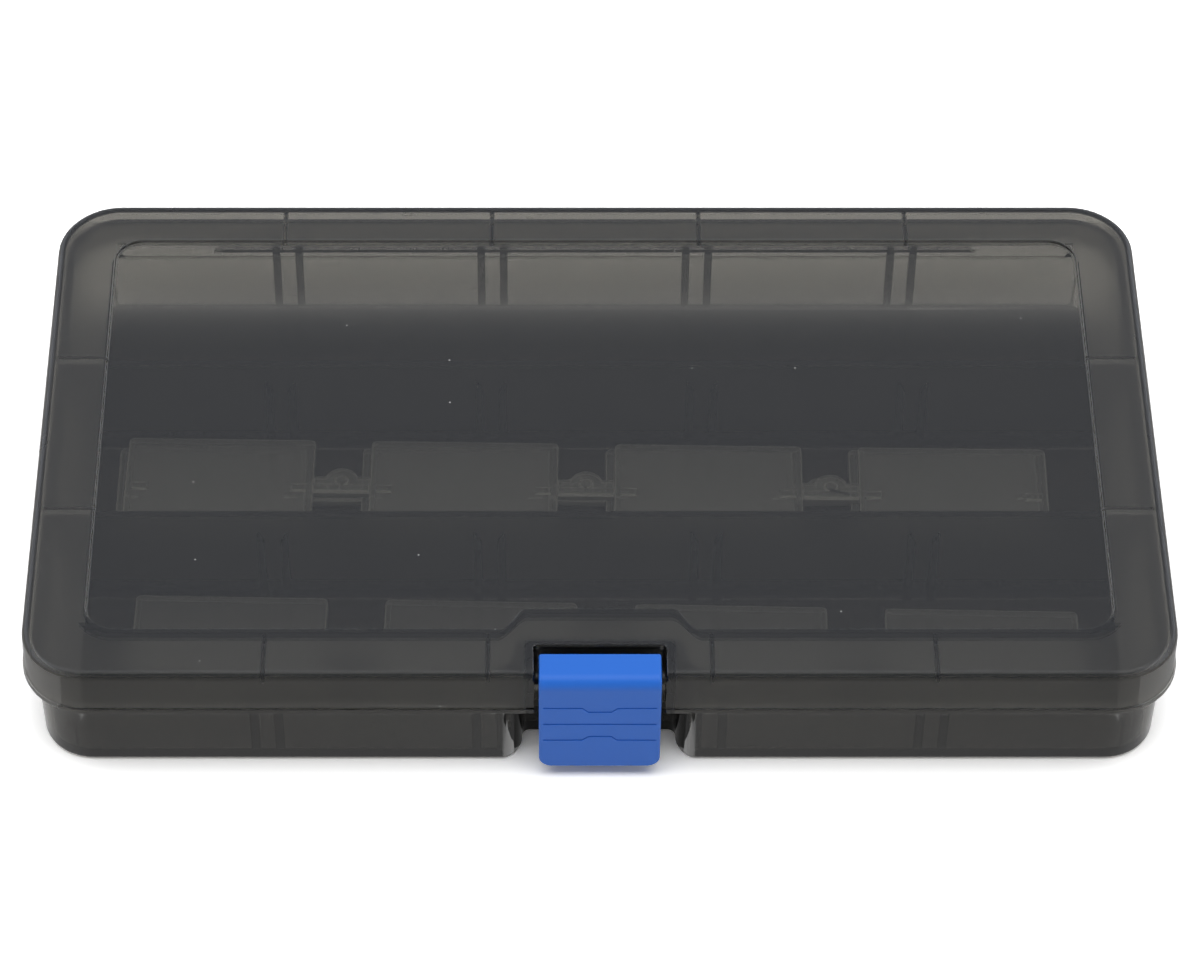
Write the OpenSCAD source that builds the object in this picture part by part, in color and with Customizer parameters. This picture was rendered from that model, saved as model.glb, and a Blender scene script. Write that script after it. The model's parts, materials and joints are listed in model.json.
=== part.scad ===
// Flat compartment box with a hinged lid, a front latch and dividers still on their moulding runners.
// Millimetres. +Z is up, +Y is to the back. The origin is the middle of the tray's underside.

/* [Lid] */
// Width of the lid's top, left to right
lid_w = 175; // [165:1:200]
// Depth of the lid's top, front to back
lid_d = 100.4; // [94:0.2:110]
// Height of the closed box
box_h = 22.5; // [20:0.5:28]
// Corner radius of the lid, seen from above
lid_corner_r = 10; // [8:0.5:14]
// Wall thickness of the lid
lid_wall = 1.2; // [0.9:0.1:1.5]
// Height of the lid from its top face to the lower edge of its skirt
skirt_h = 8.6; // [7.5:0.1:9.5]
// Rounding of the lid's top edge
lid_edge_r = 1.4; // [0.6:0.1:2]
// Draft of the lid's skirt in degrees
lid_draft = 1; // [0.5:0.1:2]
// Height of the thicker hem along the skirt's lower edge
hem_h = 0.9; // [0.6:0.1:1.5]
// How far the hem stands out from the skirt
hem_out = 0.25; // [0.1:0.05:0.4]
// Smallest fillet between skirt and rim inside the lid
lid_fillet = 0.3; // [0.2:0.1:1]

/* [Window] */
// Width of the rim at the left and right of the window
rim_side = 9.5; // [8:0.25:13]
// Width of the rim at the front of the window
rim_front = 9.3; // [8.5:0.05:11]
// Width of the rim at the back of the window
rim_back = 8.45; // [7.5:0.05:11]
// Corner radius of the window
window_r = 4.5; // [2:0.5:8]
// How far the window panel is sunk below the rim
window_recess = 0.6; // [0.4:0.1:1]
// How far the panel laps under the rim's inner edge
panel_lap = 0.4; // [0.3:0.1:1]
// How far the rim steps into the window behind the latch
step_in = 4; // [2:0.5:6]
// Rim left beside the latch notch where it steps in
step_side = 1.8; // [1:0.1:4]
// Sideways run of the step's slanted ends
step_slant = 2.5; // [1:0.1:5]
// Rounding of the step's corners
step_r = 1.6; // [0.5:0.1:2]

/* [Tray] */
// How far the tray's walls stand inside the lid's outline
tray_inset = 1.5; // [1.4:0.1:3]
// Wall thickness of the tray
tray_wall = 1.2; // [0.9:0.1:1.6]
// Floor thickness of the tray
floor_t = 1.2; // [0.8:0.1:2]
// Draft of the tray's walls in degrees
tray_draft = 1.2; // [0.5:0.1:2]
// Rounding of the tray's lower outside edge
foot_r = 0.8; // [0.4:0.1:2.2]
// Fillet between floor and walls inside the rows
floor_fillet = 1; // [0.8:0.1:3]
// Thickness of the lengthwise partitions at their top
partition_t = 1.2; // [0.9:0.1:1.8]
// Fillet at the foot of the partitions
partition_fillet = 0.8; // [0.4:0.1:1.4]
// Radius of the thin bead round the tray below the lid
bead_r = 0.25; // [0.1:0.05:0.4]
// Distance of the bead below the lid's skirt
bead_down = 2.3; // [1:0.1:4]
// Distance of the two ejector marks on the rear floor from the middle
floor_mark_x = 43.5; // [25:0.5:48]
// Distance of the ejector marks from the rear wall
floor_mark_in = 4.1; // [2:0.1:10]
// Radius of an ejector mark on the floor
floor_mark_r = 1.5; // [0.8:0.1:2.5]
// Height of an ejector mark on the floor
floor_mark_h = 0.15; // [0.05:0.05:0.4]

/* [Divider slots] */
// Distance between neighbouring slots along a row
slot_pitch = 33.8; // [30:0.1:36]
// Clear width of a slot
slot_gap = 2.5; // [1.6:0.1:2.7]
// Width of one slot rib
rib_w = 1.2; // [0.8:0.1:1.6]
// How far a slot rib stands out from its wall
rib_out = 1.1; // [0.8:0.1:1.8]
// How far a slot rib ends below the top of its wall
rib_drop = 3.5; // [1:0.1:5]
// Lead-in chamfer at the top of a slot rib
rib_lead = 0.9; // [0.3:0.1:1]

/* [Lid seat] */
// Height of the small seat ribs under the rim
seat_h = 1.2; // [0.8:0.1:1.8]
// Width of a seat rib
seat_w = 0.4; // [0.3:0.1:1.6]
// Clearance between the seat ribs and the tray's walls
seat_clear = 0.1; // [0.05:0.05:0.3]

/* [Latch] */
// Width of the latch
latch_w = 18.5; // [14:0.5:22]
// Thickness of the latch plate
latch_t = 2.3; // [1.6:0.1:2.6]
// How far the latch stands in front of the lid
latch_proud = 1.4; // [1.2:0.1:3]
// Depth of the latch's cap, front to back
latch_cap_d = 6; // [5.8:0.1:7]
// How far the latch's cap lies below the rim
latch_drop = 0.2; // [0.1:0.1:0.6]
// Height of the latch's lower edge above the table
latch_foot = 2.3; // [1:0.1:5]
// Rounding of the latch's lower corners, seen from the front
latch_corner_r = 2; // [0.5:0.1:4]
// Rounding of the cap's front edge
latch_brow_r = 2; // [0.8:0.1:2.2]
// Rounding of the cap's back edge
latch_nape_r = 0.5; // [0.4:0.1:1]
// Clearance at each side of the latch
latch_side_gap = 0.7; // [0.5:0.05:1.5]
// Clearance behind the latch's cap
latch_back_gap = 1.4; // [1.3:0.1:2]
// Radius of the pivot pins on the lid's cheeks
pin_r = 1; // [0.8:0.05:1.2]
// Radial clearance of the pins in the latch's sockets
pin_clear = 0.05; // [0.02:0.01:0.1]
// How far the pins reach into the latch
pin_in = 1.6; // [1:0.1:2.5]
// Room left past the tip of a pin in its socket
pin_short = 0.2; // [0.1:0.1:0.5]
// Wall of the boss round the sockets
boss_wall = 0.9; // [0.5:0.1:1]
// Distance of the pivot behind the lid's front
pivot_in = 2; // [1.8:0.1:2.4]
// Distance of the pivot below the rim
pivot_down = 3; // [2.6:0.1:3.6]
// Thickness of the lid's cheeks beside the latch
cheek_t = 1.3; // [1:0.1:1.8]
// Rounding of the cheeks' back corners
cheek_r = 1; // [0.4:0.1:1.2]
// Depth of the grip grooves
groove_deep = 0.15; // [0.1:0.05:0.5]
// Width of the grip grooves
groove_w = 0.3; // [0.2:0.05:1]
// Distance between the grip grooves
groove_pitch = 3.8; // [2.5:0.1:4]
// Height of the middle groove above the latch's lower edge
groove_z = 10.3; // [9:0.1:11]
// Plain margin at each end of a groove
groove_end = 0.7; // [0.3:0.1:1.5]
// Half width of the groove's shifted middle stretch
groove_mid = 1.75; // [1:0.05:3]
// How far the outer grooves' middle stretch shifts
groove_bend = 0.9; // [0.3:0.1:1.2]

/* [Latch pocket] */
// Clearance between the lid's cheeks and the pocket
pocket_clear = 0.5; // [0.4:0.1:1]
// Rounding of the pocket's inner corners
pocket_r = 1.2; // [0.4:0.1:1.4]
// Rounding of the pocket's front edges
pocket_mouth_r = 5; // [1.5:0.1:5]
// Thickness of the catch ledge
catch_t = 1.5; // [1:0.1:2]
// Width of the catch ledge
catch_w = 11; // [6:0.5:13]
// How far the latch's lip reaches under the ledge
catch_bite = 1; // [0.4:0.1:1.2]
// Clearance between lip and ledge
catch_clear = 0.2; // [0.1:0.05:0.4]
// How far the ledge lies below the lid's cheeks
catch_down = 1.4; // [0.5:0.1:2.5]
// Thickness of the latch's lip
lip_t = 1.3; // [0.8:0.1:1.8]
// How far the lip ends behind the pivot
lip_past = 1.5; // [1:0.1:1.8]
// How much narrower than the ledge the lip is
lip_less = 1; // [0:0.5:3]

/* [Hinge] */
// Length of the flexible hinge web
hinge_len = 122; // [60:1:140]
// Thickness of the hinge web
web_t = 0.3; // [0.2:0.05:0.4]
// Inside bend radius of the closed hinge web
web_r = 0.4; // [0.3:0.05:0.6]
// Distance of the hinge axis behind the lid
hinge_out = 0.3; // [0.2:0.05:0.6]
// Width of the moulded land on each side of the web
web_land = 0.1; // [0.05:0.05:0.3]

/* [Dividers] */
// Clearance of a divider along the row's depth
divider_clear = 0.7; // [0.2:0.1:1]
// Clearance of a divider in its slot
divider_slot_clear = 0.9; // [0.2:0.1:1]
// Width of the raised border of a divider
divider_border = 0.9; // [0.8:0.1:2.5]
// Depth of the sunk panel of a divider
divider_sink = 0.3; // [0.1:0.05:0.4]
// Corner radius of a divider
divider_corner_r = 0.9; // [0.4:0.1:1.2]
// Spare room left at the two ends of a row by a runner tree
tree_play = 21.7; // [16:0.1:30]
// Width of a runner link
runner_w = 3.6; // [2:0.1:6]
// Thickness of a runner link
runner_t = 1; // [0.6:0.1:1.2]
// Plain length of a runner link at each side of its round boss
runner_side = 1.85; // [1:0.05:3]
// Width of the gate bar that joins link and divider
gate_w = 1.4; // [0.8:0.1:2]
// Length of the gate pads on a divider
gate_pad = 2.6; // [1:0.1:5]
// Radius of the ejector mark on a runner link
mark_r = 1; // [0.5:0.1:1.5]
// Clearance under a divider that lies on something
lie_clear = 0.05; // [0.02:0.01:0.2]

/* [How the trees lie] */
// Front tree: its middle, along the row
front_x = 1.15; // [-4:0.05:4]
// Front tree: room behind its near end
front_gap = 0.1; // [0.1:0.05:3]
// Front tree: how much further forward its right end lies
front_skew = 3.5; // [0:0.1:4]
// Lower middle tree: its middle, along the row
lower_x = -3; // [-4:0.05:4]
// Lower middle tree: room behind its near end
lower_gap = 0.85; // [0.1:0.05:3]
// Lower middle tree: how much further forward its right end lies
lower_skew = 0.5; // [0:0.1:4]
// Upper middle tree: its middle, along the row
upper_x = -1.65; // [-4:0.05:4]
// Upper middle tree: room behind its near end
upper_gap = 0.1; // [0.1:0.05:3]
// Upper middle tree: how much further forward its right end lies
upper_skew = 2.6; // [0:0.1:4]

/* [Hidden] */
$fn = 64;
row_count = 3;
slot_count = 4;
plates_per_tree = 4;
corner_steps = 12;
overlap = 0.5;

lid_hx = lid_w / 2;
lid_hy = lid_d / 2;
rim_under = box_h - lid_wall;
skirt_z = box_h - skirt_h;
skirt_lean = tan(lid_draft);
hem_grow = skirt_h * skirt_lean + hem_out;
hem_hy = lid_hy + hem_grow;
window_hx = lid_hx - rim_side;
window_near = rim_front - lid_hy;
window_far = lid_hy - rim_back;
panel_top = box_h - window_recess;
panel_under = panel_top - lid_wall;

wall_top = rim_under - seat_h - seat_clear;
tray_hx = lid_hx - tray_inset;
tray_hy = lid_hy - tray_inset;
tray_r = lid_corner_r - tray_inset;
inner_hx = tray_hx - tray_wall;
inner_hy = tray_hy - tray_wall;
lean = tan(tray_draft);
bead_z = skirt_z - bead_down;

row_pitch = (2 * inner_hy + partition_t) / row_count;
row_clear = row_pitch - partition_t;
partition_y = [for (k = [1:row_count - 1]) -inner_hy - partition_t / 2 + k * row_pitch];
slot_x = [for (k = [0:slot_count - 1]) (k - (slot_count - 1) / 2) * slot_pitch];
rib_top = wall_top - rib_drop;

latch_front = -lid_hy - latch_proud;
latch_inner = latch_front + latch_t;
latch_back = latch_front + latch_cap_d;
latch_top = box_h - latch_drop;
notch_hx = latch_w / 2 + latch_side_gap;
notch_y = latch_back + latch_back_gap;
cheek_hx = notch_hx + cheek_t;
cheek_y = notch_y + cheek_t;
pivot_y = -lid_hy + pivot_in;
pivot_z = box_h - pivot_down;
boss_r = pin_r + boss_wall;
step_hx = notch_hx + step_side;

pocket_hx = cheek_hx + pocket_clear;
pocket_y = cheek_y + pocket_clear;
catch_z = skirt_z - catch_down - catch_t;
lip_end = pivot_y + lip_past;
catch_front = lip_end - catch_bite;
lip_top = catch_z - catch_clear;
lip_w = catch_w - lip_less;

hinge_y = hem_hy + hinge_out;
hinge_z = skirt_z + web_land - web_r;
web_out_r = web_r + web_t;
ledge_top = hinge_z - web_r + web_land;
ledge_under = hinge_z - web_out_r - web_land;

divider_l = row_clear - divider_clear;
divider_h = wall_top - floor_t;
divider_t = slot_gap - divider_slot_clear;
tree_len = 2 * inner_hx - tree_play;
runner_gap = (tree_len - plates_per_tree * divider_l) / (plates_per_tree - 1);
runner_boss_r = runner_gap / 2 - runner_side;
plate_pitch = divider_l + runner_gap;
bed_z = floor_t + lie_clear;
stack_z = divider_t + lie_clear;
gate_y = -gate_w / 2;
wall_lean = (wall_top - floor_t) * lean;
tree_back = row_clear / 2 - max(rib_out, partition_fillet + wall_lean);

// Each tree: name, middle along the row, row centre, height, room behind its near end, skew
TREES = [
    ["front", front_x, -row_pitch, bed_z, front_gap, front_skew],
    ["lower", lower_x, 0, bed_z, lower_gap, lower_skew],
    ["upper", upper_x, 0, bed_z + stack_z, upper_gap, upper_skew]
];

// Points of one rounded corner of an outline, at b between a and c
function unit(v) = v / norm(v);
function spun(v, a) = [v.x * cos(a) - v.y * sin(a), v.x * sin(a) + v.y * cos(a)];
function corner_arc(a, b, c, r) =
    let (
        u = unit(a - b),
        v = unit(c - b),
        half = acos(u * v) / 2,
        centre = b + unit(u + v) * r / sin(half),
        start = b + u * r / tan(half) - centre,
        turn = cross(u, v) < 0 ? 1 : -1
    )
    [for (i = [0:corner_steps]) centre + spun(start, turn * (180 - 2 * half) * i / corner_steps)];

// Outline with a radius at each corner, from [x, y, r] points
function flat(p) = [p.x, p.y];
function rounded(pts) =
    let (n = len(pts))
    [for (i = [0:n - 1])
        for (q = corner_arc(flat(pts[(i + n - 1) % n]), flat(pts[i]), flat(pts[(i + 1) % n]), pts[i].z)) q];

// The two rounded back corners of a cut that is open at the front
function back_corners(hx, back, front, r) = concat(
    corner_arc([hx, front], [hx, back], [-hx, back], r),
    corner_arc([hx, back], [-hx, back], [-hx, front], r)
);

// Sweeps a profile of distance and height round a rounded rectangle and fills the middle
module swept_block(hx, hy, r, z0, z1) {
    cx = hx - r;
    cy = hy - r;
    corners = [[cx, cy], [-cx, cy], [-cx, -cy], [cx, -cy]];
    for (q = [0:3]) {
        out = q % 2 == 0 ? cx : cy;
        along = q % 2 == 0 ? cy : cx;
        translate(corners[q]) rotate(90 * q) rotate_extrude(angle = 90) children();
        rotate(90 * q) translate([out, along, 0]) rotate([90, 0, 0]) linear_extrude(2 * along) children();
    }
    translate([-cx, -cy, z0]) cube([2 * cx, 2 * cy, z1 - z0]);
}

// Half section that leans outward from r at height z1 to its foot, with a rounded upper edge
module flared_side(r, z0, z1, edge) {
    low_r = r + (z1 - z0) * skirt_lean;
    centre = [r + edge * skirt_lean - edge / cos(lid_draft), z1 - edge];
    touch = centre + edge * [cos(lid_draft), sin(lid_draft)];
    polygon([[0, z0], [low_r, z0], touch, [centre.x, z1], [0, z1]]);
    translate(centre) circle(edge);
}

// Half section that leans outward to r at height z1, with a rounded lower edge
module leaning_side(r, z0, z1, edge) {
    low_r = r - (z1 - z0) * lean;
    centre = [low_r + edge * lean - edge / cos(tray_draft), z0 + edge];
    touch = centre + edge * [cos(tray_draft), -sin(tray_draft)];
    polygon([[0, z0], [centre.x, z0], touch, [r, z1], [0, z1]]);
    translate(centre) circle(edge);
}

module rounded_rect(w, d, r) {
    square([w - 2 * r, d], center = true);
    square([w, d - 2 * r], center = true);
    for (sx = [-1, 1]) for (sy = [-1, 1]) translate([sx * (w / 2 - r), sy * (d / 2 - r)]) circle(r);
}

module tray_body() {
    swept_block(tray_hx, tray_hy, tray_r, 0, wall_top) {
        leaning_side(tray_r, 0, wall_top, foot_r);
        translate([tray_r - (wall_top - bead_z) * lean, bead_z]) circle(bead_r);
    }
}

module tray_hollow() {
    over = wall_top + overlap;
    inner_r = tray_r - tray_wall + overlap * lean;
    swept_block(inner_hx + overlap * lean, inner_hy + overlap * lean, inner_r, floor_t, over)
        leaning_side(inner_r, floor_t, over, floor_fillet);
}

// Half section of a partition: its leaning side and the fillet at its foot
module partition_half() {
    foot = partition_t / 2 + wall_lean;
    fillet = partition_fillet;
    centre = [foot - fillet * lean + fillet / cos(tray_draft), floor_t + fillet];
    touch = centre - fillet * [cos(tray_draft), sin(tray_draft)];
    low = floor_t - overlap;
    difference() {
        polygon([[0, low], [centre.x, low], [centre.x, floor_t], touch,
            [partition_t / 2, wall_top], [0, wall_top]]);
        translate(centre) circle(fillet);
    }
}

module partition(y) {
    reach = inner_hx + tray_wall / 2;
    for (s = [0, 1]) translate([-reach, y, 0]) rotate([90, 0, 90]) linear_extrude(2 * reach)
        mirror([s, 0, 0]) partition_half();
}

// One upright rib of a slot, its wall face at y = 0 and its free side towards +Y
module slot_rib() {
    near = slot_gap / 2;
    far = near + rib_w;
    translate([0, rib_out, 0]) rotate([90, 0, 0]) linear_extrude(rib_out + overlap)
        polygon([[near, floor_t - overlap], [far, floor_t - overlap], [far, rib_top],
            [near + rib_lead, rib_top], [near, rib_top - 2 * rib_lead]]);
}

module slot_ribs() {
    faces = concat(
        [[-inner_hy, 1], [inner_hy, -1]],
        [for (y = partition_y) for (s = [-1, 1]) [y + s * partition_t / 2, s]]
    );
    for (f = faces) for (x = slot_x) for (side = [0, 1])
        translate([x, f[0], 0]) mirror([side, 0, 0]) mirror([0, f[1] < 0 ? 1 : 0, 0]) slot_rib();
}

// Plan of the latch pocket, grown by g, with its rounded mouth
module pocket_plan(g) {
    hx = pocket_hx + g;
    back = pocket_y + g;
    mouth = pocket_mouth_r - g;
    front = -tray_hy + g;
    polygon(concat([[-hx, -lid_hy - overlap], [hx, -lid_hy - overlap]],
        back_corners(hx, back, -lid_hy, pocket_r + g)));
    for (s = [-1, 1]) difference() {
        translate([s * (hx + mouth / 2), front + (mouth - overlap) / 2])
            square([mouth, mouth + overlap], center = true);
        translate([s * (hx + mouth), front + mouth]) circle(mouth);
    }
}

module base_tray() {
    color("dimgray") difference() {
        union() {
            difference() {
                tray_body();
                tray_hollow();
            }
            for (y = partition_y) partition(y);
            slot_ribs();
            intersection() {
                tray_body();
                linear_extrude(wall_top) pocket_plan(tray_wall);
            }
            hinge_ledge();
            floor_marks();
        }
        translate([0, 0, -overlap]) linear_extrude(wall_top + 2 * overlap) pocket_plan(0);
    }
    color("dimgray") catch_ledge();
}

// Round marks left on the rear floor by the mould's ejectors
module floor_marks() {
    for (s = [-1, 1]) translate([s * floor_mark_x, inner_hy - floor_mark_in, floor_t / 2])
        cylinder(r = floor_mark_r, h = floor_t / 2 + floor_mark_h);
}

module hinge_ledge() {
    root = tray_hy - tray_wall / 2;
    half = hinge_len / 2;
    flare = hem_hy - root;
    translate([0, 0, ledge_under]) linear_extrude(ledge_top - ledge_under)
        polygon([[-half - flare, root], [half + flare, root], [half, hem_hy], [-half, hem_hy]]);
}

module catch_ledge() {
    translate([-catch_w / 2, catch_front, catch_z])
        cube([catch_w, pocket_y - catch_front + tray_wall / 2, catch_t]);
}

// Window outline grown by g, with the step round the latch
module window_plan(g) {
    hx = window_hx + g;
    near = window_near - g;
    far = window_far + g;
    sx = step_hx - g;
    polygon(rounded([
        [-hx, near, window_r + g], [-sx - step_slant, near, step_r], [-sx, near + step_in, step_r],
        [sx, near + step_in, step_r], [sx + step_slant, near, step_r], [hx, near, window_r + g],
        [hx, far, window_r + g], [-hx, far, window_r + g]
    ]));
}

module lid_body() {
    swept_block(lid_hx, lid_hy, lid_corner_r, skirt_z, box_h) {
        flared_side(lid_corner_r, skirt_z, box_h, lid_edge_r);
        translate([0, skirt_z]) square([lid_corner_r + hem_grow, hem_h]);
    }
}

module lid_hollow() {
    low = skirt_z - overlap;
    inner_r = lid_corner_r - lid_wall;
    fillet = max(lid_edge_r - lid_wall, lid_fillet);
    swept_block(lid_hx - lid_wall, lid_hy - lid_wall, inner_r, low, rim_under)
        flared_side(inner_r, low, rim_under, fillet);
}

// Small ribs under the rim that seat on the tray's walls, opposite slots and partitions
module seat_ribs() {
    lap = panel_lap / 2;
    out_y = lid_hy - lid_wall / 2;
    in_x = window_hx + lap;
    long_x = lid_hx - lid_wall / 2 - in_x;
    tall = seat_h + lid_wall / 2;
    translate([0, 0, rim_under - seat_h + tall / 2]) {
        for (x = slot_x) for (run = [[-out_y, window_near - lap], [window_far + lap, out_y]])
            translate([x, (run[0] + run[1]) / 2, 0]) cube([seat_w, run[1] - run[0], tall], center = true);
        for (y = partition_y) for (s = [-1, 1])
            translate([s * (in_x + long_x / 2), y, 0]) cube([long_x, seat_w, tall], center = true);
    }
}

module notch_plan(hx, back, r) {
    polygon(concat([[-hx, latch_front], [hx, latch_front]], back_corners(hx, back, latch_front, r)));
}

module lid() {
    color("dimgray") difference() {
        union() {
            difference() {
                lid_body();
                lid_hollow();
            }
            translate([0, 0, panel_under]) linear_extrude(lid_wall) window_plan(panel_lap);
            seat_ribs();
            intersection() {
                lid_body();
                translate([0, 0, skirt_z]) linear_extrude(skirt_h) notch_plan(cheek_hx, cheek_y, cheek_r);
            }
        }
        translate([0, 0, panel_top]) linear_extrude(skirt_h) window_plan(0);
        translate([0, 0, skirt_z - overlap]) linear_extrude(skirt_h + 2 * overlap)
            notch_plan(notch_hx, notch_y, cheek_r / 2);
    }
    color("dimgray") for (s = [-1, 1]) pivot_bar(s, notch_hx + cheek_t / 2, latch_w / 2 - pin_in, pin_r);
}

// Round bar on the latch's axis at side s, from one distance to another
module pivot_bar(s, from, to, r) {
    translate([s * from, pivot_y, pivot_z]) rotate([0, -s * 90, 0]) cylinder(r = r, h = from - to);
}

// Thin web that bends about the hinge axis, closed at rest
module hinge_web() {
    color("dimgray") translate([-hinge_len / 2, hinge_y, hinge_z]) rotate([90, 0, 90])
        linear_extrude(hinge_len) web_section();
}

module web_section() {
    intersection() {
        difference() {
            circle(web_out_r);
            circle(web_r);
        }
        translate([0, -web_out_r]) square([web_out_r, 2 * web_out_r]);
    }
    for (s = [-1, 1]) translate([-hinge_out / 2, s * (web_r + web_t / 2)])
        square([hinge_out, web_t], center = true);
}

// Side section of the latch: front plate, cap and the boss round the sockets
module latch_section() {
    cap_low = latch_top - latch_t;
    translate([latch_front, latch_foot]) square([latch_t, latch_top - latch_brow_r - latch_foot]);
    translate([latch_front + latch_brow_r, cap_low])
        square([latch_back - latch_nape_r - latch_front - latch_brow_r, latch_t]);
    translate([latch_front + latch_brow_r, latch_top - latch_brow_r]) circle(latch_brow_r);
    translate([latch_back - latch_nape_r, latch_top - latch_nape_r]) circle(latch_nape_r);
    translate([latch_inner, cap_low]) square([latch_cap_d - latch_t, latch_t - latch_nape_r]);
    translate([pivot_y, pivot_z]) circle(boss_r);
}

// Front outline of the latch, seen along +Y, with its lower corners rounded
module latch_face() {
    hx = latch_w / 2;
    low_left = [-hx, latch_foot];
    low_right = [hx, latch_foot];
    top_left = [-hx, latch_top];
    top_right = [hx, latch_top];
    polygon(concat(
        corner_arc(top_left, low_left, low_right, latch_corner_r),
        corner_arc(low_left, low_right, top_right, latch_corner_r),
        [top_right, top_left]
    ));
}

// Grip groove at height z, whose middle stretch shifts by bend
module grip_groove(z, bend) {
    half = latch_w / 2 - groove_end;
    out = groove_mid + abs(bend);
    path = [[-half, z], [-out, z], [-groove_mid, z + bend], [groove_mid, z + bend], [out, z], [half, z]];
    up = [0, groove_w / 2];
    n = len(path);
    translate([0, latch_front + groove_deep, 0]) rotate([90, 0, 0]) linear_extrude(groove_deep + overlap)
        polygon(concat([for (p = path) p - up], [for (i = [1:n]) path[n - i] + up]));
}

module latch() {
    color("royalblue") {
        difference() {
            intersection() {
                translate([-latch_w / 2, 0, 0]) rotate([90, 0, 90]) linear_extrude(latch_w) latch_section();
                translate([0, latch_back + overlap, 0]) rotate([90, 0, 0])
                    linear_extrude(latch_cap_d + 2 * overlap) latch_face();
            }
            for (k = [-1, 0, 1]) grip_groove(latch_foot + groove_z + k * groove_pitch, -k * groove_bend);
            for (s = [-1, 1])
                pivot_bar(s, latch_w / 2 + overlap, latch_w / 2 - pin_in - pin_short, pin_r + pin_clear);
        }
        translate([-lip_w / 2, latch_inner - overlap, lip_top - lip_t])
            cube([lip_w, lip_end - latch_inner + overlap, lip_t]);
    }
}

// One divider lying flat, its middle at the origin
module divider_plate() {
    sunk_w = divider_l - 2 * divider_border;
    sunk_h = divider_h - 2 * divider_border;
    pad_l = gate_pad + divider_border / 2;
    pad_top = divider_t - divider_sink / 2;
    difference() {
        linear_extrude(divider_t) rounded_rect(divider_l, divider_h, divider_corner_r);
        for (z = [divider_sink - overlap, divider_t - divider_sink]) translate([0, 0, z])
            linear_extrude(overlap) rounded_rect(sunk_w, sunk_h, divider_corner_r / 2);
    }
    for (s = [0, 1]) mirror([s, 0, 0]) translate([sunk_w / 2 - gate_pad, gate_y - gate_w / 2, divider_sink])
        cube([pad_l, gate_w, pad_top - divider_sink]);
}

// One link of a runner, between the edges of two dividers
module runner_link() {
    lift = (divider_t - runner_t) / 2;
    boss_y = runner_w / 4;
    proud_t = runner_t + lift / 2;
    translate([0, 0, lift]) linear_extrude(runner_t) {
        square([runner_gap, runner_w], center = true);
        translate([0, boss_y]) circle(runner_boss_r);
    }
    translate([-runner_gap / 2, gate_y - gate_w / 2, lift]) cube([runner_gap, gate_w, proud_t]);
    translate([0, boss_y, lift]) cylinder(r = mark_r, h = proud_t);
}

// Puts a tree's pieces where the tree lies, its left end nearer the ribs at the back of the row
module on_tree(t) {
    turn = -asin(t[5] / tree_len);
    y = t[2] + tree_back - t[4] - t[5] / 2 - divider_h / 2;
    translate([t[1], y, t[3]]) rotate(turn) children();
}

module divider(t, i) {
    x = (i - (plates_per_tree + 1) / 2) * plate_pitch;
    color("gainsboro") on_tree(t) translate([x, 0, 0]) divider_plate();
}

module runner(t, i) {
    x = (i - plates_per_tree / 2) * plate_pitch;
    color("gainsboro") on_tree(t) translate([x, 0, 0]) runner_link();
}

base_tray();
lid();
hinge_web();
latch();
for (t = TREES) for (i = [1:plates_per_tree])
    divider(t, i);
for (t = TREES) for (i = [1:plates_per_tree - 1])
    runner(t, i);
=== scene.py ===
"""Dresses the flat compartment box: smoke plastic tray and lid, hinge web, blue latch and clear dividers."""
import json
import math
from collections import namedtuple

import bmesh
import bpy
from bpy.props import FloatProperty, FloatVectorProperty, PointerProperty
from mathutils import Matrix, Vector


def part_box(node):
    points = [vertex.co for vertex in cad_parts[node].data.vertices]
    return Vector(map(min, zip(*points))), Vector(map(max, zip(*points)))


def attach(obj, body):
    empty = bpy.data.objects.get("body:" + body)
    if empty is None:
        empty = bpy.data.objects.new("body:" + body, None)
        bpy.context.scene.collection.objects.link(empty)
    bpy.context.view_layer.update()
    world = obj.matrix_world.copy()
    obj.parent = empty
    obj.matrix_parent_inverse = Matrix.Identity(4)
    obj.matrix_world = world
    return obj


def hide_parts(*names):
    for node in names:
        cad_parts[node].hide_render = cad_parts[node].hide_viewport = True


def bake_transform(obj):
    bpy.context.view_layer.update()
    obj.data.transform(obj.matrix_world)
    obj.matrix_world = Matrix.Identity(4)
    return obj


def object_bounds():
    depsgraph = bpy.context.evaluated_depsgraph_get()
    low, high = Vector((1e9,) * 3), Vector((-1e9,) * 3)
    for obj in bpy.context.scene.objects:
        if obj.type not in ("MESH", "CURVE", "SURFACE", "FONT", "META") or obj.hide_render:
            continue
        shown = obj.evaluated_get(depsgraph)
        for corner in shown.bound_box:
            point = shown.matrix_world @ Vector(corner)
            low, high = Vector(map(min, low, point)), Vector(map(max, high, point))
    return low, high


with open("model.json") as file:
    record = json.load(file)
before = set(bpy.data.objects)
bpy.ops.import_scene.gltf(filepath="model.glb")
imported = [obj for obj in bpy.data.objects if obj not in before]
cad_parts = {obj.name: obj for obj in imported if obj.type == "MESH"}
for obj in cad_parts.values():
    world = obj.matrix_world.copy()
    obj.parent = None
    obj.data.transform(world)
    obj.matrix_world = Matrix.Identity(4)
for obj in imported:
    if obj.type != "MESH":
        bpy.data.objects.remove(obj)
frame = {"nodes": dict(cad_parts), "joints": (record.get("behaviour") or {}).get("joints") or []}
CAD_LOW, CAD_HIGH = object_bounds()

bl_info = {
    "name": "Compartment Parts Box",
    "version": (1, 0, 0),
    "blender": (4, 5, 0),
    "location": "View3D > Sidebar > Parts Box",
    "description": "Dresses a flat compartment box with smoke plastic, a blue latch and clear dividers",
    "category": "Object",
}

MM = 0.001

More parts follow.
